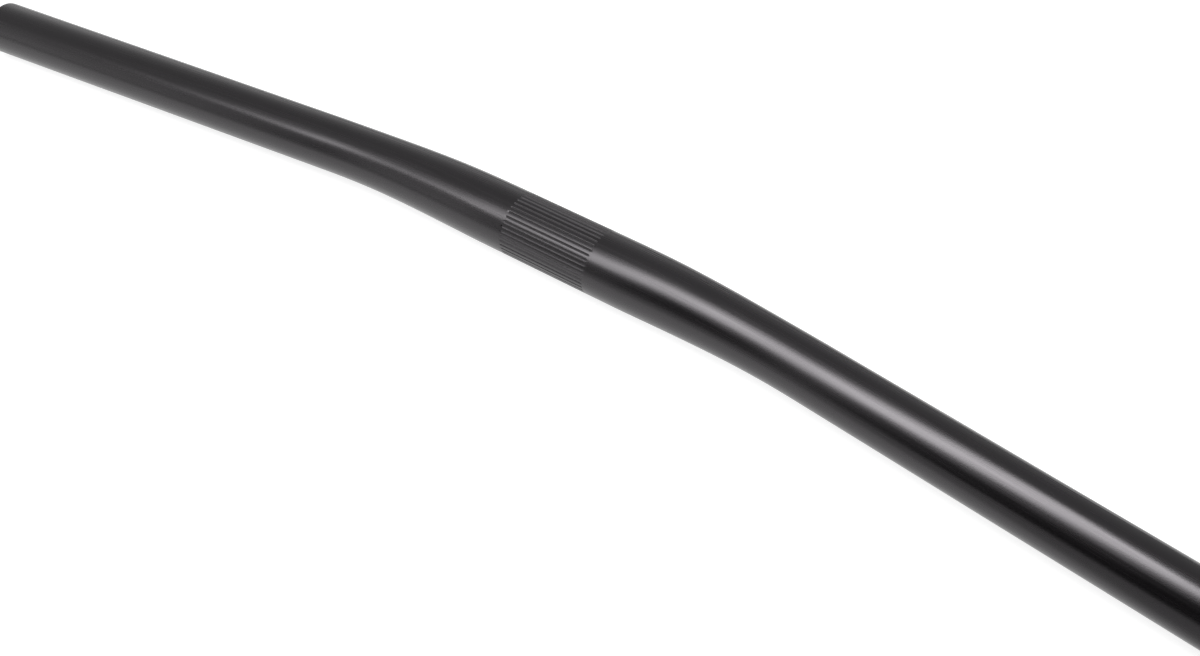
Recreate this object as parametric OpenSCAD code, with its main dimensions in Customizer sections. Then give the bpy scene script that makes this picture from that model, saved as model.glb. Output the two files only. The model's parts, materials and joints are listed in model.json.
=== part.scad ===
// Flat handlebar: one swaged tube with a knurled clamp zone in the middle and two swept arms.
// X runs along the clamp zone, the arms sweep back towards -Y, and +Z is up.
// The origin is the middle of the clamp zone, on the centreline of the tube.
// The bar lies as it comes to rest: on the clamp zone and on both tips.

/* [Bar] */
// Overall width, from tip to tip
overall_width = 580; // [480:5:720]
// Backward sweep of each arm, in degrees
sweep = 6.5; // [4:0.5:12]
// Radius of the centreline in each bend
bend_radius = 610; // [200:10:900]
// Straight run between the clamp zone and the start of each bend
bend_lead = 13.5; // [5:0.5:30]

/* [Clamp zone] */
// Outer diameter of the clamp zone
clamp_d = 25.4; // [24:0.1:32]
// Length of the clamp zone, over which the diameter stays the same
clamp_length = 55; // [50:1:80]
// Wall thickness in the clamp zone
clamp_wall = 2.5; // [2:0.1:3.5]

/* [Knurl] */
// Length of the knurled band in the middle of the clamp zone
knurl_length = 38; // [20:1:45]
// Number of grooves around the band
groove_count = 40; // [30:1:50]
// Width of a groove at the surface
groove_width = 0.7; // [0.4:0.05:1.2]
// Depth of a groove below the surface
groove_depth = 0.4; // [0.1:0.05:0.7]

/* [Arms] */
// Length of the taper from the clamp zone to the grip, along the centreline
taper_length = 76.5; // [40:0.5:110]
// Outer diameter of the grips
grip_d = 22.2; // [21:0.1:23.8]
// Wall thickness in the grips
grip_wall = 2.1; // [1.5:0.1:3]
// Chamfer on the outer edge of each tip
tip_chamfer = 0.8; // [0.2:0.1:1]
// Chamfer on the edge of the bore at each tip
bore_chamfer = 0.4; // [0.1:0.1:0.6]

/* [Hidden] */
$fn = 96;

satin_black = [0.13, 0.13, 0.14];

// Radii, and lengths measured along the centreline from the middle of the bar
clamp_r = clamp_d / 2;
clamp_bore_r = clamp_r - clamp_wall;
grip_r = grip_d / 2;
grip_bore_r = grip_r - grip_wall;
clamp_end = clamp_length / 2;
taper_end = clamp_end + taper_length;
bend_start = clamp_end + bend_lead;
bend_end = bend_start + bend_radius * sweep * PI / 180;

// The grip is straight and parallel from here to the tip
grip_start = max(bend_end, taper_end);
tip_x = overall_width / 2 - (grip_r - tip_chamfer) * sin(sweep);
tip = bend_end + (tip_x - bend_start - bend_radius * sin(sweep)) / cos(sweep);
grip_length = tip - grip_start;

// Tilt about X at which the clamp zone and the thinner tips touch the table together
rest_tilt = asin((clamp_r - grip_r) / -centre(tip - tip_chamfer).y);

// The swept part of each arm is a mesh of rings, a little inside the true tube
ring_sides = 64;
ring_pitch = 8.5;
ring_skin = 0.01;

// How far the swept part and the round parts reach into each other
seat = 0.5;

// How far a cutting shape stands clear of the surface that it cuts
cut_over = 0.3;

function mix(from, to, share) = from + (to - from) * share;

// Share of the taper that is done at distance s: 0 in the clamp zone, 1 in the grip
function taper_share(s) = (1 - cos(180 * min(max(s - clamp_end, 0) / taper_length, 1))) / 2;

function outer_radius(s) = mix(clamp_r, grip_r, taper_share(s));
function bore_radius(s) = outer_radius(s) - mix(clamp_wall, grip_wall, taper_share(s));

// Angle by which the centreline has turned at distance s
function heading(s) = min(max(s - bend_start, 0) / bend_radius * 180 / PI, sweep);

// Point on the centreline at distance s: straight, then an arc, then straight again
function centre(s) =
    let (turned = heading(s), run_on = max(s - bend_end, 0))
    [
        min(s, bend_start) + bend_radius * sin(turned) + run_on * cos(sweep),
        -bend_radius * (1 - cos(turned)) - run_on * sin(sweep),
        0
    ];

// Point at angle around on the circle of that radius, square to the centreline at s
function ring_point(s, radius, around) =
    let (across = [sin(heading(s)), cos(heading(s)), 0])
    centre(s) + radius * (cos(around) * across + [0, 0, sin(around)]);

function ring(s, radius) =
    [for (k = [0 : ring_sides - 1]) ring_point(s, radius, 360 * k / ring_sides)];

// Faces of a tube whose rings are stacked: all outer rings first, then all bore rings
function swept_faces(rings) =
    let (first_bore = rings * ring_sides)
    [
        for (i = [0 : rings - 2], k = [0 : ring_sides - 1])
            let (a = i * ring_sides + k, b = i * ring_sides + (k + 1) % ring_sides)
            each [
                [a, a + ring_sides, b + ring_sides, b],
                [first_bore + b, first_bore + b + ring_sides, first_bore + a + ring_sides, first_bore + a]
            ],
        for (k = [0 : ring_sides - 1])
            let (next = (k + 1) % ring_sides, last = (rings - 1) * ring_sides)
            each [
                [k, next, first_bore + next, first_bore + k],
                [last + next, last + k, first_bore + last + k, first_bore + last + next]
            ]
    ];

// Tapered and bent stretch between the clamp zone and the grip, seated a little way into both
module swept_taper() {
    from = clamp_end - seat;
    to = grip_start + seat;
    steps = ceil((to - from) / ring_pitch);
    places = [for (i = [0 : steps]) mix(from, to, i / steps)];
    outer = [for (s = places) each ring(s, outer_radius(s) - ring_skin)];
    bore = [for (s = places) each ring(s, bore_radius(s) / cos(180 / ring_sides) + ring_skin)];
    polyhedron(concat(outer, bore), swept_faces(steps + 1), convexity = 6);
}

// Straight grip with its bore, chamfered at the tip inside and out
module grip() {
    translate(centre(grip_start))
        rotate([0, 90, -sweep])
            rotate_extrude()
                polygon([
                    [grip_bore_r, 0],
                    [grip_bore_r + seat, -seat],
                    [grip_r - seat, -seat],
                    [grip_r, 0],
                    [grip_r, grip_length - tip_chamfer],
                    [grip_r - tip_chamfer, grip_length],
                    [grip_bore_r + bore_chamfer, grip_length],
                    [grip_bore_r, grip_length - bore_chamfer]
                ]);
}

// One V-shaped cutter that runs the length of the band
module groove_cutter() {
    half_width = groove_width / 2 * (groove_depth + cut_over) / groove_depth;
    linear_extrude(knurl_length, center = true)
        polygon([
            [clamp_r - groove_depth, 0],
            [clamp_r + cut_over, half_width],
            [clamp_r + cut_over, -half_width]
        ]);
}

// Round middle of the tube, before it is grooved
module clamp_blank() {
    rotate_extrude()
        polygon([
            [clamp_bore_r, -clamp_end],
            [clamp_bore_r + seat, -clamp_end - seat],
            [clamp_r - seat, -clamp_end - seat],
            [clamp_r, -clamp_end],
            [clamp_r, clamp_end],
            [clamp_r - seat, clamp_end + seat],
            [clamp_bore_r + seat, clamp_end + seat],
            [clamp_bore_r, clamp_end]
        ]);
}

// Middle of the tube, with the band of straight grooves that keeps the bar from turning in its clamp.
// The seam of the blank is turned half a pitch, so that it lies on a land and not in a groove.
module clamp_zone() {
    rotate([0, 90, 0])
        difference() {
            rotate(180 / groove_count)
                clamp_blank();
            for (k = [0 : groove_count - 1])
                rotate(360 * k / groove_count)
                    groove_cutter();
        }
}

module arm() {
    swept_taper();
    grip();
}

// The whole bar is one tube
module handlebar() {
    color(satin_black)
        rotate([rest_tilt, 0, 0]) {
            clamp_zone();
            arm();
            mirror([1, 0, 0])
                arm();
        }
}

handlebar();
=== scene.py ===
"""Looks of the flat handlebar: the fine mesh of its tube, its satin black finish and the studio.

Lengths are in metres and angles in radians unless a name says otherwise. X runs along the clamp
zone, the arms sweep back towards -Y, and +Z is up. Distance s runs along the centreline of the
tube from the middle of the bar, and is negative on the left arm.
"""

import json
import logging
import math
from dataclasses import dataclass, field
from enum import Enum
from typing import Iterator, Sequence

import bpy
import numpy as np
from mathutils import Matrix, Vector

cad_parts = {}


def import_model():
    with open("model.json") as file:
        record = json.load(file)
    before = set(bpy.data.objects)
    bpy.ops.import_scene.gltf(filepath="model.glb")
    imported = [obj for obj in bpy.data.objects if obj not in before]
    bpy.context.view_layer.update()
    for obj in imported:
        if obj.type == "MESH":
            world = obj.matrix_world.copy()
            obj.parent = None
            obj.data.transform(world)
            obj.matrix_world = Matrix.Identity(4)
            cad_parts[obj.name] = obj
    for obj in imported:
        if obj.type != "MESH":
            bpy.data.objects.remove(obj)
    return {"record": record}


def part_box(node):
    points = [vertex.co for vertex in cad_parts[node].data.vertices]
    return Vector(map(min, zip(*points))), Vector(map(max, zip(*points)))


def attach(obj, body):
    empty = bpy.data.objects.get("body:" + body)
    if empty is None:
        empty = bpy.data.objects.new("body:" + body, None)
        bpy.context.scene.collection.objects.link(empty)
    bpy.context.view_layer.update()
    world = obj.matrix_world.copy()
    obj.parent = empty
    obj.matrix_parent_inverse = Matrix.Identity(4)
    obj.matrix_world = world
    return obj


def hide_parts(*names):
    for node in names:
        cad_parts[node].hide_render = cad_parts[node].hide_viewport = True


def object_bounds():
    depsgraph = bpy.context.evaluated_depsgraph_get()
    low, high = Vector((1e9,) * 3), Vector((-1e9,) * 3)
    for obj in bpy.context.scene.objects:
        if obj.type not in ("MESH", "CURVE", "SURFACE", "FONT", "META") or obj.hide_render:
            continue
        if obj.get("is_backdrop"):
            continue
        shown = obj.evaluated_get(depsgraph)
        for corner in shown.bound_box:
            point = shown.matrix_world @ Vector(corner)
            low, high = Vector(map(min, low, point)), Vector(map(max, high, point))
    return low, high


LOG = logging.getLogger("handlebar")

MM = 0.001
TUBE_COORDINATES = "along_tube"
GROOVE_SHARE = "groove_share"
UP = np.array([0.0, 0.0, 1.0])

Colour = tuple[float, float, float]
Place = tuple[float, float, float]
Input = float | bpy.types.NodeSocket
ColourInput = Colour | bpy.types.NodeSocket


class RayKind(Enum):
    """Kinds of ray that a stage material tells apart, by their socket on the Light Path node."""

    CAMERA = "Is Camera Ray"
    GLOSSY = "Is Glossy Ray"
    TRANSMISSION = "Is Transmission Ray"


def smooth_step(share: float) -> float:
    """Eases a share from 0 to 1, flat at both ends."""
    share = min(max(share, 0.0), 1.0)
    return share * share * (3 - 2 * share)


def spread(start: float, stop: float, pitch: float) -> list[float]:
    """Even places from start to stop, both included, at most pitch apart."""
    steps = max(1, math.ceil(abs(stop - start) / pitch))
    return [start + (stop - start) * k / steps for k in range(steps + 1)]


@dataclass(frozen=True)
class BarSizes:
    """Sizes of the bar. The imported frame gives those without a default."""

    half_width: float
    clamp_radius: float
    clamp_length: float
    grip_radius: float
    grip_bore_radius: float
    sweep: float
    rest_tilt: float
    clamp_wall: float = 2.5 * MM
    taper_length: float = 76.5 * MM
    bend_radius: float = 610 * MM
    bend_lead: float = 13.5 * MM
    tip_chamfer: float = 0.8 * MM
    bore_chamfer: float = 0.4 * MM

    @classmethod
    def from_frame(cls, record: dict, node: str) -> "BarSizes":
        """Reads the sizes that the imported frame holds.

        Args:
            record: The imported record, with its mounts.
            node: The name of the bar's node in the frame.

        Returns:
            The sizes of the bar.
        """
        mounts = {mount["name"]: mount for mount in record["mounts"]}
        clamp = mounts["stem_clamp_zone"]["dims"]
        grip = mounts["right_grip_zone"]
        along_x, along_y, along_z = grip["axis"]
        lowest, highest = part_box(node)
        return cls(
            half_width=(highest.x - lowest.x) / 2,
            clamp_radius=clamp["r_mm"] * MM,
            clamp_length=clamp["length_mm"] * MM,
            grip_radius=grip["dims"]["r_mm"] * MM,
            grip_bore_radius=mounts["right_end_bore"]["dims"]["r_mm"] * MM,
            sweep=math.acos(along_x),
            rest_tilt=math.atan2(-along_z, -along_y),
        )

    @property
    def clamp_end(self) -> float:
        """Distance s at which the clamp zone ends."""
        return self.clamp_length / 2

    @property
    def taper_end(self) -> float:
        """Distance s at which the taper ends."""
        return self.clamp_end + self.taper_length

    @property
    def bend_start(self) -> float:
        """Distance s at which the bend starts."""
        return self.clamp_end + self.bend_lead

    @property
    def bend_end(self) -> float:
        """Distance s at which the bend ends."""
        return self.bend_start + self.bend_radius * self.sweep

    @property
    def tip(self) -> float:
        """Works out where the tip is, from the widest point of its chamfered end.

        Returns:
            The distance s of the tip.
        """
        reach = (self.grip_radius - self.tip_chamfer) * math.sin(self.sweep)
        bent = self.bend_start + self.bend_radius * math.sin(self.sweep)
        return self.bend_end + (self.half_width - reach - bent) / math.cos(self.sweep)

    @property
    def plain_end(self) -> float:
        """Distance s at which the plain grip ends, a little before its chamfer."""
        return self.tip - 3 * self.tip_chamfer

    def taper_share(self, s: float) -> float:
        """Share of the taper that is done at s: 0 in the clamp zone and 1 in the grip."""
        share = min(max(abs(s) - self.clamp_end, 0.0) / self.taper_length, 1.0)
        return (1 - math.cos(math.pi * share)) / 2

    def outer_radius(self, s: float) -> float:
        """Radius of the outside of the tube at s."""
        return self.clamp_radius + (self.grip_radius - self.clamp_radius) * self.taper_share(s)

    def bore_radius(self, s: float) -> float:
        """Radius of the bore at s."""
        clamp_bore_radius = self.clamp_radius - self.clamp_wall
        return clamp_bore_radius + (self.grip_bore_radius - clamp_bore_radius) * self.taper_share(s)


@dataclass(frozen=True)
class Centreline:
    """Line through the middle of the tube: straight, bent by an arc, and straight again."""

    sizes: BarSizes

    def heading(self, s: float) -> float:
        """Angle by which the line has turned at s."""
        return min(max(abs(s) - self.sizes.bend_start, 0.0) / self.sizes.bend_radius, self.sizes.sweep)

    def place(self, s: float, radii: np.ndarray, angles: np.ndarray) -> np.ndarray:
        """Bends a ring of points round the line, and tips the bar to where it rests.

        Args:
            s: The distance along the line.
            radii: The distance of each point from the line.
            angles: The angle of each point, from the back of the bar and up.

        Returns:
            The points, one in each row.
        """
        turned = self.heading(s)
        run_on = max(abs(s) - self.sizes.bend_end, 0.0)
        radius = self.sizes.bend_radius
        middle = np.array([
            min(abs(s), self.sizes.bend_start) + radius * math.sin(turned) + run_on * math.cos(turned),
            -radius * (1 - math.cos(turned)) - run_on * math.sin(turned),
            0.0,
        ])
        across = np.array([math.sin(turned), math.cos(turned), 0.0])
        points = middle + radii[:, None] * (
            np.cos(angles)[:, None] * across + np.sin(angles)[:, None] * UP
        )
        points[:, 0] *= math.copysign(1.0, s)
        return points @ np.array(Matrix.Rotation(self.sizes.rest_tilt, 3, "X")).T


@dataclass(frozen=True)
class Ring:
    """One ring of points round the tube, at one place on its closed outline.

    The groove share of a point is its depth in a groove of the knurl, where 1 is the full depth.
    """

    s: float
    radii: np.ndarray
    angles: np.ndarray
    groove_shares: np.ndarray

    @property
    def unbent(self) -> np.ndarray:
        """The points as they lie on the straight tube, for patterns that follow the drawing."""
        along = np.full(len(self.angles), self.s)
        return np.stack([along, self.radii * np.cos(self.angles), self.radii * np.sin(self.angles)], 1)


@dataclass(frozen=True)
class KnurlBand:
    """Straight grooves rolled into the middle of the clamp zone, round at crest and root."""

    length: float = 38 * MM
    groove_count: int = 40
    groove_width: float = 0.7 * MM
    groove_depth: float = 0.4 * MM
    root_round: float = 0.06 * MM
    crest_round: float = 0.17 * MM
    run_out: float = 0.7 * MM
    run_out_rings: int = 5
    ring_pitch: float = 3.2 * MM

    def offsets(self, radius: float) -> list[float]:
        """Places round one pitch at which the groove and its lands need a point.

        Args:
            radius: The radius of the tube under the band.

        Returns:
            Arc lengths from the middle of the groove, from 0 up to just under one pitch.
        """
        pitch = 2 * math.pi * radius / self.groove_count
        edge = self.groove_width / 2
        crest = self.crest_round
        half = [0.0, self.root_round, edge - crest, edge, edge + crest / 2, edge + crest]
        return half + [pitch / 2] + [pitch - place for place in reversed(half[1:])]

    def angles(self, radius: float) -> np.ndarray:
        """Places the points of one ring of the band.

        Args:
            radius: The radius of the tube under the band.

        Returns:
            The angle of each point, from the back of the bar and up.
        """
        steps = np.array(self.offsets(radius)) / radius
        starts = 2 * math.pi * np.arange(self.groove_count) / self.groove_count
        return (starts[:, None] + steps[None, :]).ravel()

    def cut(self, offset: float) -> float:
        """Works out how deep the full groove is at one place.

        Args:
            offset: The arc length from the middle of the groove.

        Returns:
            The depth as a share of the sharp groove's, 0 on the land and nearly 1 at the root.
        """
        edge = self.groove_width / 2
        beside = abs(offset)
        crest = edge + self.crest_round
        if beside >= crest:
            return 0.0
        root_lift = self.root_round / (2 * edge)
        if beside < self.root_round:
            return 1 - root_lift - (beside / self.root_round) ** 2 * root_lift
        if beside > edge - self.crest_round:
            return (crest - beside) ** 2 / (4 * self.crest_round * edge)
        return 1 - beside / edge

    def rings(self, radius: float) -> list[Ring]:
        """Rings of the band, from its left end to its right end.

        Args:
            radius: The radius of the tube under the band.

        Returns:
            The rings, the first and the last of them with no groove yet.
        """
        pitch = 2 * math.pi * radius / self.groove_count
        shape = np.array([self.cut(min(o, pitch - o)) for o in self.offsets(radius)])
        cuts = np.tile(shape, self.groove_count)
        half = self.length / 2
        fading = [-half + self.run_out * k / self.run_out_rings for k in range(self.run_out_rings)]
        full = spread(-half + self.run_out, half - self.run_out, self.ring_pitch)
        places = fading + full + [-place for place in reversed(fading)]
        rings = []
        for s in places:
            shares = cuts * smooth_step((half - abs(s)) / self.run_out)
            rings.append(Ring(s, radius - shares * self.groove_depth, self.angles(radius), shares))
        return rings


@dataclass(frozen=True)
class TubeEnd:
    """Cut end of the tube: a flat ring between two chamfers, with every edge slightly broken."""

    sizes: BarSizes
    edge_round: float = 0.16 * MM
    edge_steps: int = 4

    def round_corner(
        self, before: tuple[float, float], corner: tuple[float, float], after: tuple[float, float]
    ) -> list[tuple[float, float]]:
        """Rounds one corner of the outline.

        Args:
            before: The corner before it, as distance along the tube and radius.
            corner: The corner to round.
            after: The corner after it.

        Returns:
            Points on a curve that leaves the one side and meets the other.
        """
        middle = Vector(corner)
        start = middle + (Vector(before) - middle).normalized() * self.edge_round
        stop = middle + (Vector(after) - middle).normalized() * self.edge_round
        points = []
        for k in range(self.edge_steps + 1):
            share = k / self.edge_steps
            point = start * (1 - share) ** 2 + middle * 2 * share * (1 - share) + stop * share**2
            points.append((point.x, point.y))
        return points

    def outline(self) -> list[tuple[float, float]]:
        """Draws the right end, from the outside of the grip round to its bore.

        Returns:
            The points of the outline, as distance along the tube and radius.
        """
        sizes = self.sizes
        tip = sizes.tip
        bore = sizes.grip_bore_radius
        corners = [
            (sizes.plain_end, sizes.grip_radius),
            (tip - sizes.tip_chamfer, sizes.grip_radius),
            (tip, sizes.grip_radius - sizes.tip_chamfer),
            (tip, bore + sizes.bore_chamfer),
            (tip - sizes.bore_chamfer, bore),
            (sizes.plain_end, bore),
        ]
        inner = []
        for before, corner, after in zip(corners, corners[1:], corners[2:]):
            inner += self.round_corner(before, corner, after)
        return [corners[0], *inner, corners[-1]]


@dataclass
class Handlebar:
    """The bar's one tube, built as rings along its closed outline and bent along its centreline."""

    sizes: BarSizes
    knurl: KnurlBand = field(default_factory=KnurlBand)
    sides: int = 160
    outer_pitch: float = 5 * MM
    bore_pitch: float = 10 * MM
    name: str = "handlebar_tube"

    def plain_ring(self, s: float, radius: float) -> Ring:
        """A round ring at s."""
        angles = 2 * math.pi * np.arange(self.sides) / self.sides
        return Ring(s, np.full(self.sides, radius), angles, np.zeros(self.sides))

    def arm_stations(self, pitch: float, start: float) -> list[float]:
        """Places along one arm that need a ring, from the middle of the bar outwards.

        Args:
            pitch: The most that two rings may be apart.
            start: Where the first ring is.

        Returns:
            Distances along the centreline, with one at every start or end of a bend or taper.
        """
        sizes = self.sizes
        stops = [start, sizes.clamp_end, sizes.bend_start, sizes.taper_end]
        stops += [sizes.bend_end, sizes.plain_end]
        places = [start]
        for here, there in zip(stops, stops[1:]):
            places += spread(here, there, pitch)[1:]
        return places[:-1]

    def rings(self) -> list[Ring]:
        """Makes all rings of the closed outline.

        Returns:
            The rings of the outside, the right end, the bore and the left end.
        """
        sizes = self.sizes
        beside_knurl = self.knurl.length / 2 + self.knurl.run_out
        outer = self.arm_stations(self.outer_pitch, beside_knurl)
        bore = self.arm_stations(self.bore_pitch, self.bore_pitch / 2)
        end = TubeEnd(sizes).outline()
        made = [self.plain_ring(-s, sizes.outer_radius(s)) for s in reversed(outer)]
        made += self.knurl.rings(sizes.clamp_radius)
        made += [self.plain_ring(s, sizes.outer_radius(s)) for s in outer]
        made += [self.plain_ring(s, radius) for s, radius in end]
        made += [self.plain_ring(s, sizes.bore_radius(s)) for s in reversed(bore)]
        made += [self.plain_ring(-s, sizes.bore_radius(s)) for s in bore]
        made += [self.plain_ring(-s, radius) for s, radius in reversed(end)]
        return made

    @staticmethod
    def band_faces(first: int, count: int, next_first: int, next_count: int) -> Iterator[list[int]]:
        """Faces between two neighbouring rings, where one may have several points to the other's one.

        Args:
            first: The number of the first ring's first point.
            count: How many points the first ring has.
            next_first: The number of the next ring's first point.
            next_count: How many points the next ring has.

        Yields:
            The points of each face, in the order that makes it face away from the metal.
        """
        if count > next_count:
            for face in Handlebar.band_faces(next_first, next_count, first, count):
                yield face[::-1]
            return
        per_side = next_count // count
        for side in range(count):
            here = first + side
            there = first + (side + 1) % count
            fine = [next_first + (side * per_side + k) % next_count for k in range(per_side + 1)]
            half = per_side // 2
            for k in range(half):
                yield [here, fine[k + 1], fine[k]]
            yield [here, there, fine[half + 1], fine[half]]
            for k in range(half + 1, per_side):
                yield [there, fine[k + 1], fine[k]]

    def build(self) -> bpy.types.Object:
        """Makes the tube's mesh, closed and evenly wound, with what its finish reads from it.

        Returns:
            The new object, linked to the scene.
        """
        line = Centreline(self.sizes)
        rings = self.rings()
        points = np.concatenate([line.place(ring.s, ring.radii, ring.angles) for ring in rings])
        unbent = np.concatenate([ring.unbent for ring in rings])
        counts = [len(ring.angles) for ring in rings]
        firsts = [sum(counts[:k]) for k in range(len(counts))]
        faces: list[list[int]] = []
        for k, (first, count) in enumerate(zip(firsts, counts)):
            following = (k + 1) % len(rings)
            faces += self.band_faces(first, count, firsts[following], counts[following])
        mesh = bpy.data.meshes.new(self.name)
        mesh.from_pydata(points.tolist(), [], faces)
        mesh.polygons.foreach_set("use_smooth", [True] * len(faces))
        coordinates = mesh.attributes.new(TUBE_COORDINATES, "FLOAT_VECTOR", "POINT")
        coordinates.data.foreach_set("vector", unbent.astype(np.float32).ravel())
        shares = mesh.attributes.new(GROOVE_SHARE, "FLOAT", "POINT")
        shares.data.foreach_set("value", np.concatenate([ring.groove_shares for ring in rings]))
        mesh.update()
        made = bpy.data.objects.new(self.name, mesh)
        bpy.context.scene.collection.objects.link(made)
        LOG.info("%s: %d rings, %d faces", self.name, len(rings), len(faces))
        return made

    def dress(self, tube: bpy.types.Object, finish: "SatinBlack") -> None:
        """Gives the tube its finish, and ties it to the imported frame.

        Args:
            tube: The tube's object.
            finish: The finish to give it.
        """
        tube.data.materials.append(finish.material())
        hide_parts("handlebar")
        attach(tube, "root")


class NodeBoard:
    """A node tree with short ways to add nodes and join their sockets."""

    def __init__(self, tree: bpy.types.NodeTree) -> None:
        """Empties the tree, to build on it."""
        self.tree = tree
        tree.nodes.clear()

    def add(self, kind: str, **settings: object) -> bpy.types.Node:
        """Adds a node.

        Args:
            kind: The node's type.
            settings: Its properties, and values of its inputs by name with spaces as underscores.

        Returns:
            The new node.
        """
        node = self.tree.nodes.new(kind)
        for key, value in settings.items():
            if hasattr(node, key):
                setattr(node, key, value)
            else:
                node.inputs[key.replace("_", " ")].default_value = value
        return node

    def join(self, source: bpy.types.NodeSocket, target: bpy.types.NodeSocket) -> None:
        """Joins an output to an input."""
        self.tree.links.new(source, target)

    def math(self, operation: str, *values: Input, clamp: bool = False) -> bpy.types.NodeSocket:
        """Adds a Math node.

        Args:
            operation: What it does.
            values: Its inputs, each of them a number or another node's output.
            clamp: Whether the result is kept between 0 and 1.

        Returns:
            Its output.
        """
        node = self.add("ShaderNodeMath", operation=operation, use_clamp=clamp)
        for socket, value in zip(node.inputs, values):
            if isinstance(value, bpy.types.NodeSocket):
                self.join(value, socket)
            else:
                socket.default_value = value
        return node.outputs[0]

    def attribute(self, name: str) -> bpy.types.Node:
        """Reads one of the mesh's own attributes."""
        return self.add("ShaderNodeAttribute", attribute_type="GEOMETRY", attribute_name=name)

    def dot(self, place: bpy.types.NodeSocket, along: Place) -> bpy.types.NodeSocket:
        """Multiplies a vector and a fixed one into their dot product.

        Args:
            place: The output that gives the vector.
            along: The fixed vector.

        Returns:
            The product.
        """
        node = self.add("ShaderNodeVectorMath", operation="DOT_PRODUCT")
        self.join(place, node.inputs[0])
        node.inputs[1].default_value = along
        return node.outputs["Value"]

    def remap(
        self,
        value: bpy.types.NodeSocket,
        source: tuple[float, float],
        target: tuple[float, float],
    ) -> bpy.types.NodeSocket:
        """Maps one range of a value to another, eased at both ends and held beyond them.

        Args:
            value: The output to map.
            source: The range that it has.
            target: The range that it gets.

        Returns:
            The mapped output.
        """
        node = self.add("ShaderNodeMapRange", interpolation_type="SMOOTHSTEP")
        for socket, number in zip(node.inputs[1:5], (*source, *target)):
            socket.default_value = number
        self.join(value, node.inputs["Value"])
        return node.outputs["Result"]

    def mix(self, share: bpy.types.NodeSocket, off: Input, on: Input) -> bpy.types.NodeSocket:
        """Mixes two numbers, each of them fixed or another node's output.

        Args:
            share: 0 for the first number and 1 for the second.
            off: The first number.
            on: The second number.

        Returns:
            The mixed number.
        """
        step = self.math("SUBTRACT", on, off)
        return self.math("MULTIPLY_ADD", share, step, off)

    def mix_colours(
        self, share: bpy.types.NodeSocket, off: ColourInput, on: ColourInput
    ) -> bpy.types.NodeSocket:
        """Mixes two colours, each of them fixed or another node's output.

        Args:
            share: 0 for the first colour and 1 for the second.
            off: The first colour.
            on: The second colour.

        Returns:
            The mixed colour.
        """
        node = self.add("ShaderNodeMix", data_type="RGBA")
        self.join(share, node.inputs["Factor"])
        colours = [socket for socket in node.inputs if socket.type == "RGBA"]
        for socket, colour in zip(colours, (off, on)):
            if isinstance(colour, bpy.types.NodeSocket):
                self.join(colour, socket)
            else:
                socket.default_value = (*colour, 1.0)
        return [socket for socket in node.outputs if socket.type == "RGBA"][0]

    def mix_shaders(
        self, share: bpy.types.NodeSocket, off: bpy.types.NodeSocket, on: bpy.types.NodeSocket
    ) -> bpy.types.NodeSocket:
        """Mixes two shaders.

        Args:
            share: 0 for the first shader and 1 for the second.
            off: The first shader.
            on: The second shader.

        Returns:
            The mixed shader.
        """
        node = self.add("ShaderNodeMixShader")
        for source, target in zip((share, off, on), node.inputs):
            self.join(source, target)
        return node.outputs[0]

    def any_ray(self, *kinds: RayKind) -> bpy.types.NodeSocket:
        """Tells some kinds of ray from all others.

        Args:
            kinds: The kinds to tell from the others.

        Returns:
            1 for rays of these kinds, and 0 for the others.
        """
        path = self.add("ShaderNodeLightPath")
        total = path.outputs[kinds[0].value]
        for kind in kinds[1:]:
            total = self.math("ADD", total, path.outputs[kind.value], clamp=True)
        return total


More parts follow.
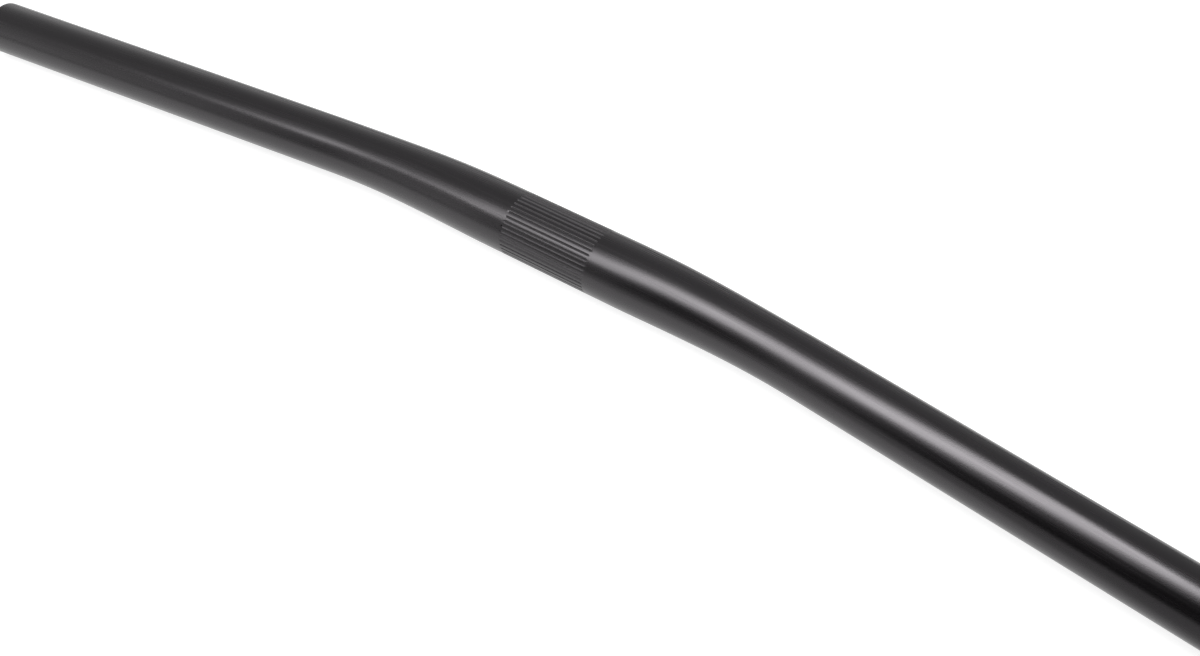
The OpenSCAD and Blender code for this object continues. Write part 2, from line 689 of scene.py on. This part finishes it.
@dataclass(frozen=True)
class SatinBlack:
    """Satin black anodised aluminium: a nearly black dye under a soft, even sheen.

    The grain is what blasting leaves, and the streaks run along the tube, as drawing leaves them.
    The rolled grooves of the knurl are duller, and a little paler, which is painted light.
    """

    name: str = "satin_black_anodising"
    slot: str = "satin_black_tube"
    dye: Colour = (0.0018, 0.0015, 0.0018)
    dye_pale: Colour = (0.0026, 0.0022, 0.0026)
    refraction_index: float = 1.6
    sheen_tint: Colour = (1.0, 0.955, 1.0)
    roughness: tuple[float, float] = (0.232, 0.285)
    # Painted light: a paler colour that lifts the grooves, not a dye of their own.
    groove_painted_light: Colour = (0.014, 0.0132, 0.014)
    groove_roughness: float = 0.6
    groove_edge: tuple[float, float] = (0.0, 0.15)
    streaks_per_metre: Place = (22.0, 900.0, 900.0)
    streak_detail: float = 4.0
    grains_per_metre: float = 2600.0
    grain_detail: float = 2.0
    grain_depth: float = 0.012 * MM
    clouds_per_metre: float = 60.0
    cloud_detail: float = 3.0
    noise_range: tuple[float, float] = (0.3, 0.7)

    def material(self) -> bpy.types.Material:
        """Builds the material, whose patterns follow the unbent tube.

        Returns:
            The new material.
        """
        made = bpy.data.materials.new(self.name)
        made.use_nodes = True
        board = NodeBoard(made.node_tree)
        place = board.attribute(TUBE_COORDINATES).outputs["Vector"]
        share = board.attribute(GROOVE_SHARE).outputs["Fac"]
        groove = board.remap(share, self.groove_edge, (0.0, 1.0))
        shader = board.add(
            "ShaderNodeBsdfPrincipled",
            IOR=self.refraction_index,
            Metallic=0.0,
            Specular_Tint=(*self.sheen_tint, 1.0),
        )
        board.join(self.colour(board, place, groove), shader.inputs["Base Color"])
        board.join(self.sheen(board, place, groove), shader.inputs["Roughness"])
        board.join(self.grain(board, place), shader.inputs["Normal"])
        output = board.add("ShaderNodeOutputMaterial")
        board.join(shader.outputs["BSDF"], output.inputs["Surface"])
        return made

    def colour(
        self, board: NodeBoard, place: bpy.types.NodeSocket, groove: bpy.types.NodeSocket
    ) -> bpy.types.NodeSocket:
        """Colours the tube by its dye, a touch uneven in soft clouds, and paler in the grooves as
        painted light.

        Args:
            board: The material's nodes.
            place: The place on the unbent tube.
            groove: 1 in a groove and 0 on the plain tube.

        Returns:
            The colour.
        """
        clouds = board.add("ShaderNodeTexNoise", Scale=self.clouds_per_metre, Detail=self.cloud_detail)
        board.join(place, clouds.inputs["Vector"])
        cloud = board.remap(clouds.outputs["Fac"], self.noise_range, (0.0, 1.0))
        dyed = board.mix_colours(cloud, self.dye, self.dye_pale)
        # Painted light: the grooves are made paler than the dye.
        return board.mix_colours(groove, dyed, self.groove_painted_light)

    def sheen(
        self, board: NodeBoard, place: bpy.types.NodeSocket, groove: bpy.types.NodeSocket
    ) -> bpy.types.NodeSocket:
        """Sets how dull the tube is, in fine streaks along it, and duller in the grooves.

        Args:
            board: The material's nodes.
            place: The place on the unbent tube.
            groove: 1 in a groove and 0 on the plain tube.

        Returns:
            The roughness.
        """
        stretch = board.add("ShaderNodeVectorMath", operation="MULTIPLY")
        board.join(place, stretch.inputs[0])
        stretch.inputs[1].default_value = self.streaks_per_metre
        streaks = board.add("ShaderNodeTexNoise", Scale=1.0, Detail=self.streak_detail)
        board.join(stretch.outputs["Vector"], streaks.inputs["Vector"])
        drawn = board.remap(streaks.outputs["Fac"], self.noise_range, self.roughness)
        return board.mix(groove, drawn, self.groove_roughness)

    def grain(self, board: NodeBoard, place: bpy.types.NodeSocket) -> bpy.types.NodeSocket:
        """Roughens the surface with a fine, even grain.

        Args:
            board: The material's nodes.
            place: The place on the unbent tube.

        Returns:
            The normals of the grain.
        """
        noise = board.add("ShaderNodeTexNoise", Scale=self.grains_per_metre, Detail=self.grain_detail)
        board.join(place, noise.inputs["Vector"])
        bump = board.add("ShaderNodeBump", Strength=1.0, Distance=self.grain_depth)
        board.join(noise.outputs["Fac"], bump.inputs["Height"])
        return bump.outputs["Normal"]


@dataclass(frozen=True)
class PhotoCamera:
    """The camera where the photograph was taken from."""

    location: Place = (240.84 * MM, -316.25 * MM, 354.77 * MM)
    azimuth: float = math.radians(35.16)
    elevation: float = math.radians(45.17)
    lens_mm: float = 42.71
    sensor_mm: float = 36.0
    clip: tuple[float, float] = (0.01, 50.0)

    def build(self) -> None:
        """Adds the camera to the scene, and makes it the scene's own."""
        data = bpy.data.cameras.new("photo_camera")
        data.lens = self.lens_mm
        data.sensor_fit = "HORIZONTAL"
        data.sensor_width = self.sensor_mm
        data.clip_start, data.clip_end = self.clip
        camera = bpy.data.objects.new("photo_camera", data)
        bpy.context.scene.collection.objects.link(camera)
        level = math.cos(self.elevation)
        back = Vector((
            math.sin(self.azimuth) * level, -math.cos(self.azimuth) * level, math.sin(self.elevation)
        ))
        camera.rotation_mode = "QUATERNION"
        camera.rotation_quaternion = (-back).to_track_quat("-Z", "Y")
        camera.location = self.location
        bpy.context.scene.camera = camera
        LOG.info("camera at %s", self.location)


@dataclass(frozen=True)
class Softbox:
    """A long level softbox over the bar, brightest along its middle and towards its head.

    The light of the tail turns into that of the head between the two shares of the length in
    tail_fade, counted from the tail. The edge fade is a share of the half width.
    """

    middle: Place = (-0.172, -0.332, 0.57)
    length: float = 1.1
    width: float = 0.402
    turn: float = math.radians(42.4)
    head_radiance: float = 9.0
    tail_radiance: float = 5.3
    tail_fade: tuple[float, float] = (0.31, 0.64)
    edge_fade: float = 0.74

    def build(self) -> None:
        """Adds the lamp to the scene, unseen by the camera."""
        data = bpy.data.lights.new("softbox", "AREA")
        data.shape = "RECTANGLE"
        data.size = self.length
        data.size_y = self.width
        data.energy = self.head_radiance * math.pi * self.length * self.width
        self.shade(data)
        lamp = bpy.data.objects.new("softbox", data)
        bpy.context.scene.collection.objects.link(lamp)
        lamp.matrix_world = Matrix.Translation(self.middle) @ Matrix.Rotation(self.turn, 4, "Z")
        lamp.visible_camera = False
        LOG.info("softbox %.2f m long", self.length)

    def shade(self, data: bpy.types.Light) -> None:
        """Fades the cloth of the softbox towards its two long edges and its tail.

        Args:
            data: The lamp to shade.
        """
        data.use_nodes = True
        board = NodeBoard(data.node_tree)
        parts = board.add("ShaderNodeSeparateXYZ")
        board.join(board.add("ShaderNodeNewGeometry").outputs["Parametric"], parts.inputs[0])
        tail_share = self.tail_radiance / self.head_radiance
        along = board.remap(parts.outputs["X"], self.tail_fade, (tail_share, 1.0))
        from_middle = board.math("ABSOLUTE", board.math("MULTIPLY_ADD", parts.outputs["Y"], 2.0, -1.0))
        across = board.remap(from_middle, (1 - self.edge_fade, 1.0), (1.0, 0.0))
        emission = board.add("ShaderNodeEmission")
        board.join(board.math("MULTIPLY", along, across), emission.inputs["Strength"])
        output = board.add("ShaderNodeOutputLight")
        board.join(emission.outputs[0], output.inputs["Surface"])


@dataclass(frozen=True)
class UnlitRoom:
    """Where the light falls off in the room round the bar, which only the gloss shows.

    The room is dark in front of the bar. On the floor that is painted shade, and behind the bar the
    floor darkens within a short way as a painted shadow of the bar.
    """

    front: float = math.radians(51.0)
    front_half_angle: tuple[float, float] = (math.radians(79.1), math.radians(78.6))
    front_wall: float = 0.01
    floor_front: float = math.radians(8.7)
    floor_front_fade: tuple[float, float] = (0.063, 0.083)
    floor_front_level: float = 0.52
    # Painted shadow of the bar, on the floor behind it as the gloss sees it.
    painted_shadow_fade: tuple[float, float] = (0.02, 0.21)
    painted_shadow_level: float = 0.2
    floor_level: float = 0.935

    @staticmethod
    def towards(board: NodeBoard, place: bpy.types.NodeSocket, azimuth: float) -> bpy.types.NodeSocket:
        """How far a place or direction lies towards an azimuth, on the level."""
        return board.dot(place, (math.sin(azimuth), -math.cos(azimuth), 0.0))

    def on_walls(self, board: NodeBoard, direction: bpy.types.NodeSocket) -> bpy.types.NodeSocket:
        """Darkens the walls in front of the bar.

        Args:
            board: The nodes to build with.
            direction: The direction in which the gloss looks.

        Returns:
            The share of light that is left in that direction.
        """
        outside, inside = (math.cos(angle) for angle in self.front_half_angle)
        front = self.towards(board, direction, self.front)
        return board.remap(front, (outside, inside), (1.0, self.front_wall))

    def paint_floor_shade(self, board: NodeBoard, place: bpy.types.NodeSocket) -> bpy.types.NodeSocket:
        """Paints shade on the floor in front of the bar, and a shadow of the bar behind it.

        Args:
            board: The nodes to build with.
            place: The place on the floor.

        Returns:
            The share of light that is left at that place.
        """
        # Painted shade in front of the bar and a painted shadow behind it.
        front = self.towards(board, place, self.floor_front)
        back = self.towards(board, place, math.pi)
        return board.math(
            "MULTIPLY",
            board.remap(front, self.floor_front_fade, (self.floor_level, self.floor_front_level)),
            board.remap(back, self.painted_shadow_fade, (1.0, self.painted_shadow_level)),
        )


@dataclass(frozen=True)
class Surroundings:
    """Pale walls round the table, plain white to the camera.

    To the gloss they are bright on the left, dim on the right, and evenly dim overhead.
    """

    room: UnlitRoom
    ambient: float = 0.2
    horizon: float = 0.563
    horizon_lean: Place = (-1.14, -0.23, 0.0)
    horizon_least: float = 0.1
    ceiling: float = 0.445
    ceiling_height: float = 0.754

    def build(self) -> None:
        """Makes the world and its light."""
        world = bpy.data.worlds.new("surroundings")
        world.use_nodes = True
        bpy.context.scene.world = world
        board = NodeBoard(world.node_tree)
        direction = board.add("ShaderNodeTexCoord").outputs["Generated"]
        parts = board.add("ShaderNodeSeparateXYZ")
        board.join(direction, parts.inputs[0])
        lean = board.math("ADD", board.dot(direction, self.horizon_lean), 1.0)
        low = board.math("MULTIPLY", board.math("MAXIMUM", lean, self.horizon_least), self.horizon)
        overhead = board.remap(parts.outputs["Z"], (0.0, self.ceiling_height), (0.0, 1.0))
        walls = board.mix(overhead, low, self.ceiling)
        seen = board.math("MULTIPLY", walls, self.room.on_walls(board, direction))
        strength = board.mix(board.any_ray(RayKind.GLOSSY), self.ambient, seen)
        white = board.any_ray(RayKind.CAMERA, RayKind.TRANSMISSION)
        background = board.add("ShaderNodeBackground", Color=(1.0, 1.0, 1.0, 1.0))
        board.join(board.math("MAXIMUM", strength, white), background.inputs["Strength"])
        output = board.add("ShaderNodeOutputWorld")
        board.join(background.outputs[0], output.inputs["Surface"])


@dataclass(frozen=True)
class Floor:
    """Plain pale floor, white to the camera, with the bar's soft shadow on it, and painted shade where
    the gloss sees it.
    """

    level: float
    room: UnlitRoom
    reach: float = 3.0
    paint: Colour = (0.8, 0.8, 0.8)
    seen_paint: float = 0.35
    seen_glow: tuple[float, float] = (0.84, 1.0)
    glow_reach: tuple[float, float] = (0.35, 1.0)

    def build(self) -> None:
        """Adds the floor under the bar."""
        sides = ((-1, -1), (1, -1), (1, 1), (-1, 1))
        corners = [(x * self.reach, y * self.reach, self.level) for x, y in sides]
        mesh = bpy.data.meshes.new("floor")
        mesh.from_pydata(corners, [], [(0, 1, 2, 3)])
        mesh.materials.append(self.material())
        floor = bpy.data.objects.new("floor", mesh)
        bpy.context.scene.collection.objects.link(floor)
        floor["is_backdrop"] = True

    def material(self) -> bpy.types.Material:
        """Builds the floor's material, which the camera sees through from underneath.

        Returns:
            The new material.
        """
        made = bpy.data.materials.new("floor")
        made.use_nodes = True
        board = NodeBoard(made.node_tree)
        geometry = board.add("ShaderNodeNewGeometry")
        # Painted shade: the gloss sees the floor darker in front of the bar and behind it.
        floor_painted_shade = self.room.paint_floor_shade(board, geometry.outputs["Position"])
        lit = board.mix(board.any_ray(RayKind.GLOSSY), 1.0, floor_painted_shade)
        plain = board.add("ShaderNodeBsdfDiffuse", Color=(*self.paint, 1.0))
        seen = board.add("ShaderNodeBsdfDiffuse")
        board.join(board.math("MULTIPLY", lit, self.seen_paint), seen.inputs["Color"])
        from_middle = board.add("ShaderNodeVectorMath", operation="LENGTH")
        board.join(geometry.outputs["Position"], from_middle.inputs[0])
        strength = board.remap(from_middle.outputs["Value"], self.glow_reach, self.seen_glow)
        glow = board.add("ShaderNodeEmission")
        board.join(board.math("MULTIPLY", lit, strength), glow.inputs["Strength"])
        white = board.add("ShaderNodeAddShader")
        board.join(seen.outputs[0], white.inputs[0])
        board.join(glow.outputs[0], white.inputs[1])
        by_ray = board.mix_shaders(board.any_ray(*RayKind), plain.outputs[0], white.outputs[0])
        clear = board.math("MULTIPLY", geometry.outputs["Backfacing"], board.any_ray(RayKind.CAMERA))
        see_through = board.add("ShaderNodeBsdfTransparent").outputs[0]
        output = board.add("ShaderNodeOutputMaterial")
        board.join(board.mix_shaders(clear, by_ray, see_through), output.inputs["Surface"])
        return made


def main() -> None:
    """Builds the bar and the studio round it."""
    logging.basicConfig(level=logging.INFO, format="%(name)s: %(message)s")
    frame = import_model()
    cad_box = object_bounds()
    bpy.context.scene.view_settings.view_transform = "Standard"
    PhotoCamera().build()
    bar = Handlebar(BarSizes.from_frame(frame["record"], "handlebar"))
    tube = bar.build()
    bar.dress(tube, SatinBlack())
    room = UnlitRoom()
    Floor(level=cad_box[0].z, room=room).build()
    Softbox().build()
    Surroundings(room=room).build()


if __name__ == "__main__":
    main()
